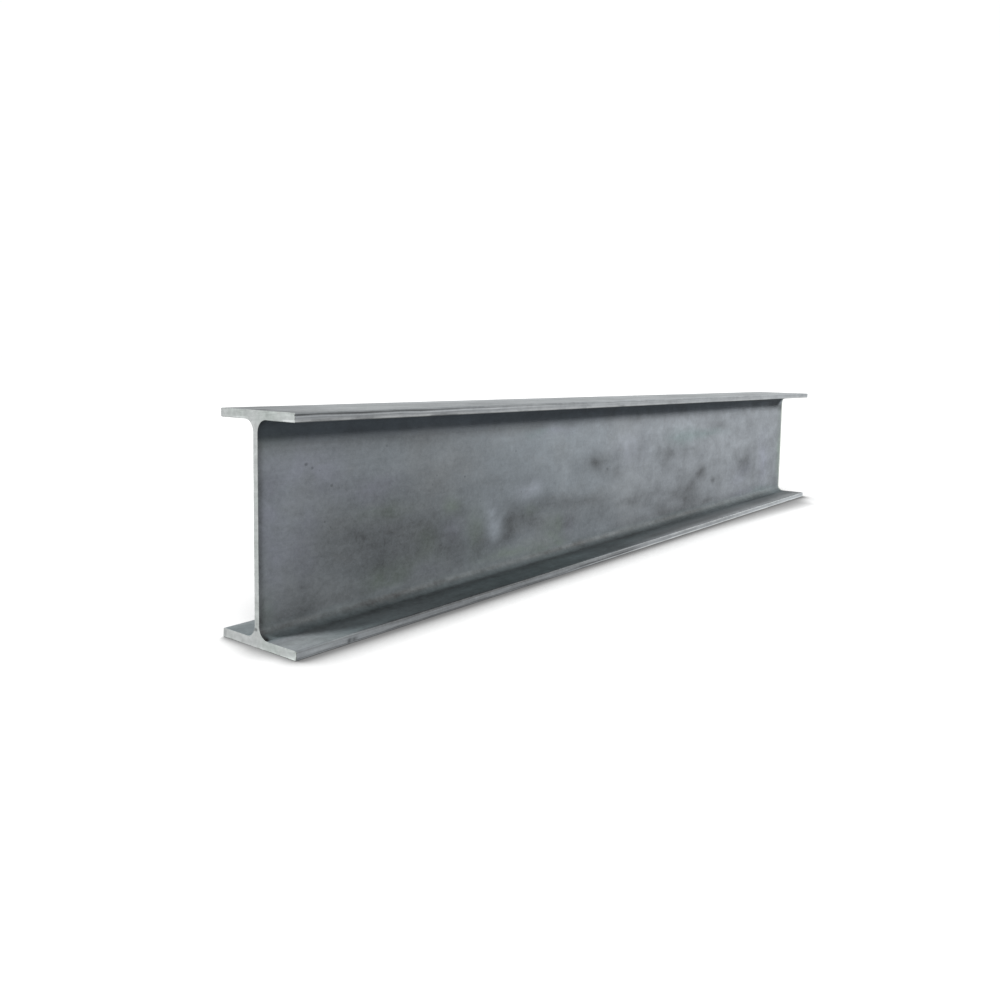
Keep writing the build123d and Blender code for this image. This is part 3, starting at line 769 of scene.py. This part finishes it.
    # fine relief
    height = g.math("MULTIPLY", g.math("SUBTRACT", grain, 0.5), 0.05)
    height = g.math("MULTIPLY_ADD", g.math("SUBTRACT", streak, 0.5), 0.09, height)
    height = g.math("MULTIPLY_ADD", g.math("SUBTRACT", speck, 0.5), 0.09, height)
    height = g.math("MULTIPLY_ADD", g.math("SUBTRACT", blotch, 0.5), 0.16, height)
    height = g.math("MULTIPLY_ADD", pit, -0.16, height)
    bump = g.add("ShaderNodeBump", {"Strength": 0.55, "Distance": 0.001, "Height": height})

    shader = g.add("ShaderNodeBsdfPrincipled", {"Base Color": skin, "Roughness": rough,
                                                "Metallic": 0.12, "Specular IOR Level": 0.3, "Normal": bump.outputs[0]})
    g.add("ShaderNodeOutputMaterial", {"Surface": shader.outputs[0]})
    return material


# marks on the near cut face: across, height, half-sizes in mm, how strong
END_DARK = [(3.9, 15.7, 2.9, 1.8, 0.70), (50.0, 202.0, 4.0, 5.0, 0.20), (50.5, 3.5, 5.0, 5.0, 0.26)]
END_PALE = [(-39.0, 202.4, 13.0, 3.6, 0.32), (-43.0, 199.2, 9.0, 1.3, 0.75), (24.0, 199.1, 9.0, 0.9, 0.40),
            (-42.0, 4.0, 10.0, 4.0, 0.36)]


def sawn_steel():
    material = bpy.data.materials.new("sawn_steel")
    g = Graph(material)
    where = g.add("ShaderNodeTexCoord").outputs["Object"]
    # blade lines run across the section, a little off level
    turned = g.add("ShaderNodeMapping", {"Vector": where, "Rotation": (math.radians(6), 0, 0)}).outputs[0]
    lines = g.noise(g.place(turned, (1, 0.035, 1)), 900, 3, 0.6)
    bands = g.noise(g.place(turned, (1, 0.05, 1), (0, 0.3, 0.7)), 210, 3, 0.55)
    mottle = g.noise(g.place(where, (1, 1, 1), (0.4, 0.9, 0.1)), 120, 5, 0.62, 0.3)
    cloud = g.noise(g.place(where, (1, 1, 1), (0.9, 0.2, 0.5)), 32, 3, 0.5)
    grain = g.noise(where, 1500, 2, 0.6)

    chip = g.noise(g.place(where, (1, 1, 1), (2.2, 0.6, 1.7)), 330, 4, 0.6, 0.4)

    shade = g.math("MULTIPLY_ADD", g.math("SUBTRACT", lines, 0.5), 0.22, 1.0)
    shade = g.math("MULTIPLY_ADD", g.math("SUBTRACT", bands, 0.5), 0.20, shade)
    shade = g.math("MULTIPLY_ADD", g.math("SUBTRACT", mottle, 0.5), 0.55, shade)
    shade = g.math("MULTIPLY_ADD", g.math("SUBTRACT", cloud, 0.5), 0.30, shade)
    shade = g.math("MULTIPLY_ADD", g.math("SUBTRACT", chip, 0.5), 0.34, shade)
    shade = g.math("MULTIPLY_ADD", g.math("SUBTRACT", grain, 0.5), 0.10, shade)
    # the broken edge is duller, and painted darker unevenly as painted shade on the bevel
    edge = g.value("end_edge")
    shade = g.math("MULTIPLY_ADD", g.math("MULTIPLY", edge, g.span(chip, 0.35, 0.65, 0.45, 1.0)), -0.46, shade)
    face = g.blend(g.span(cloud, 0.35, 0.65), (0.334, 0.364, 0.350, 1), (0.352, 0.366, 0.364, 1))
    face = g.scaled(face, shade)
    stain = g.span(g.noise(g.place(where, (1, 1, 1), (3.3, 1.1, 2.4)), 85, 4, 0.65), 0.60, 0.74)
    face = g.blend(g.math("MULTIPLY", stain, 0.22), face, (0.26, 0.225, 0.19, 1))
    for group, colour in ((END_DARK, (0.085, 0.090, 0.092, 1)), (END_PALE, (0.470, 0.490, 0.490, 1))):
        marks = None
        for across, height, half_y, half_z, strong in group:
            scaled = g.place(where, (1000, 1000 / half_y, 1000 / half_z))
            away = g.add("ShaderNodeVectorMath", {0: scaled, 1: (-HALF, across / half_y, height / half_z)},
                         operation="DISTANCE").outputs["Value"]
            ragged = g.math("MULTIPLY_ADD", g.math("SUBTRACT", chip, 0.5), 1.6, away)
            spot = g.span(ragged, 0.35, 1.35, strong, 0.0)
            marks = spot if marks is None else g.math("MAXIMUM", marks, spot)
        face = g.blend(marks, face, colour)

    rough = g.math("MULTIPLY_ADD", g.math("SUBTRACT", mottle, 0.5), 0.2, 0.46)
    rough = g.math("MULTIPLY_ADD", g.math("SUBTRACT", lines, 0.5), 0.16, rough)
    rough = g.math("MULTIPLY_ADD", edge, 0.42, rough, clamp=True)
    height = g.math("MULTIPLY", g.math("SUBTRACT", lines, 0.5), 0.10)
    height = g.math("MULTIPLY_ADD", g.math("SUBTRACT", bands, 0.5), 0.10, height)
    height = g.math("MULTIPLY_ADD", g.math("SUBTRACT", mottle, 0.5), 0.10, height)
    height = g.math("MULTIPLY_ADD", g.math("SUBTRACT", chip, 0.5), 0.08, height)
    bump = g.add("ShaderNodeBump", {"Strength": 0.5, "Distance": 0.001, "Height": height})
    metal = g.math("MULTIPLY_ADD", edge, -0.34, 0.40)
    shader = g.add("ShaderNodeBsdfPrincipled", {"Base Color": face, "Roughness": rough,
                                                "Metallic": metal, "Specular IOR Level": 0.35, "Normal": bump.outputs[0]})
    g.add("ShaderNodeOutputMaterial", {"Surface": shader.outputs[0]})
    return material


mesh.materials.append(rolled_steel())
mesh.materials.append(sawn_steel())

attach(beam, "root")
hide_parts("i_beam")

# ---------------------------------------------------------------- floor, light and camera
scene = bpy.context.scene
floor_mesh = bpy.data.meshes.new("floor")
count = 96
ring_points = [(60 * math.cos(2 * math.pi * k / count), 60 * math.sin(2 * math.pi * k / count), 0.0) for k in range(count)]
floor_mesh.from_pydata(ring_points, [], [list(range(count))])
floor = bpy.data.objects.new("floor", floor_mesh)
scene.collection.objects.link(floor)
paint = bpy.data.materials.new("pale_floor")
g = Graph(paint)
# painted contact shadow: the floor's colour is painted darker close to the beam from an occlusion test, reaching
# further toward the far end and less past it
along = g.add("ShaderNodeSeparateXYZ", {0: g.add("ShaderNodeTexCoord").outputs["Object"]}).outputs[0]
reach = g.math("MULTIPLY", g.span(along, -0.3, 0.5, 0.041, 0.108, kind="LINEAR"), g.span(along, 0.54, 0.66, 1.0, 0.30, kind="LINEAR"))
near_things = g.add("ShaderNodeAmbientOcclusion", {"Distance": reach, "Normal": g.add(
    "ShaderNodeCombineXYZ", {"X": 0.0, "Y": 0.57, "Z": 0.82}).outputs[0]}, samples=24)
open_sky = g.math("POWER", g.span(near_things.outputs["AO"], 0.30, 0.985, kind="LINEAR"), 3.2)
dull = g.add("ShaderNodeBsdfDiffuse", {"Color": g.span(open_sky, 0.0, 1.0, 0.175, 0.86, kind="LINEAR")})
g.add("ShaderNodeOutputMaterial", {"Surface": dull.outputs[0]})
floor_mesh.materials.append(paint)
floor.location.z = -0.0002
floor.visible_diffuse = floor.visible_glossy = False      # the beam is lit by the studio, not by its own backdrop

world = bpy.data.worlds.new("studio")
world.use_nodes = True
scene.world = world
wt = world.node_tree
wt.nodes.clear()
path = wt.nodes.new("ShaderNodeLightPath")
sky = wt.nodes.new("ShaderNodeMix")
sky.data_type = "FLOAT"
sky.inputs[2].default_value = 0.33     # what lights the beam
sky.inputs[3].default_value = 1.02     # what the backdrop looks like
wt.links.new(path.outputs["Is Camera Ray"], sky.inputs[0])
back_node = wt.nodes.new("ShaderNodeBackground")
back_node.inputs["Color"].default_value = (1, 1, 1, 1)
wt.links.new(sky.outputs[0], back_node.inputs["Strength"])
world_out = wt.nodes.new("ShaderNodeOutputWorld")
wt.links.new(back_node.outputs[0], world_out.inputs["Surface"])

lit_beam = bpy.data.collections.new("lit_beam")
lit_beam.objects.link(beam)
lit_floor = bpy.data.collections.new("lit_floor")
lit_floor.objects.link(floor)


def sun(name, toward, elevation, strength, angle, receivers):
    """A soft distant light; toward is the level direction from the beam to the light."""
    data = bpy.data.lights.new(name, "SUN")
    data.energy, data.angle = strength * math.pi, math.radians(angle)
    light = bpy.data.objects.new(name, data)
    e = math.radians(elevation)
    level = Vector((toward[0], toward[1], 0)).normalized() * math.cos(e)
    back_to_light = Vector((level.x, level.y, math.sin(e)))
    light.rotation_mode = "QUATERNION"
    light.rotation_quaternion = back_to_light.to_track_quat("Z", "Y")
    light.location = back_to_light * 5
    light.light_linking.receiver_collection = receivers
    scene.collection.objects.link(light)
    return light


def softbox(name, place, aim, width, height, power, receivers):
    data = bpy.data.lights.new(name, "AREA")
    data.shape, data.size, data.size_y, data.energy = "RECTANGLE", width, height, power
    light = bpy.data.objects.new(name, data)
    light.rotation_mode = "QUATERNION"
    light.location = Vector(place)
    light.rotation_quaternion = (Vector(place) - Vector(aim)).to_track_quat("Z", "Y")
    light.light_linking.receiver_collection = receivers
    scene.collection.objects.link(light)
    return light


softbox("front_key", (2.2, -2.65, 1.34), (0.1, 0, 0.1), 1.2, 0.55, 205, lit_beam)
sun("side_key", (-1.0, 0.61), 43.0, 2.4, 14, lit_beam)
sun("overhead", (-0.80, -0.59), 54.0, 1.36, 55, lit_floor)

camera_data = bpy.data.cameras.new("camera")
camera_data.sensor_width = 36
camera_data.lens = 30.6498
camera_data.shift_x, camera_data.shift_y = -0.02689, -0.05569
camera_data.clip_start, camera_data.clip_end = 0.02, 300
camera = bpy.data.objects.new("camera", camera_data)
azimuth, elevation, roll = (math.radians(v) for v in (-53.5792, 5.2006, 1.2074))
behind = Vector((math.sin(azimuth) * math.cos(elevation), -math.cos(azimuth) * math.cos(elevation), math.sin(elevation)))
right = Vector((0, 0, 1)).cross(behind).normalized()
up = behind.cross(right)
right, up = right * math.cos(roll) + up * math.sin(roll), up * math.cos(roll) - right * math.sin(roll)
turn = Matrix((right, up, behind)).transposed().to_4x4()
camera.matrix_world = Matrix.Translation((-1.0659961, -0.6091021, 0.2471196)) @ turn
scene.collection.objects.link(camera)
scene.camera = camera

scene.view_settings.view_transform = "Standard"
scene.view_settings.look = "None"
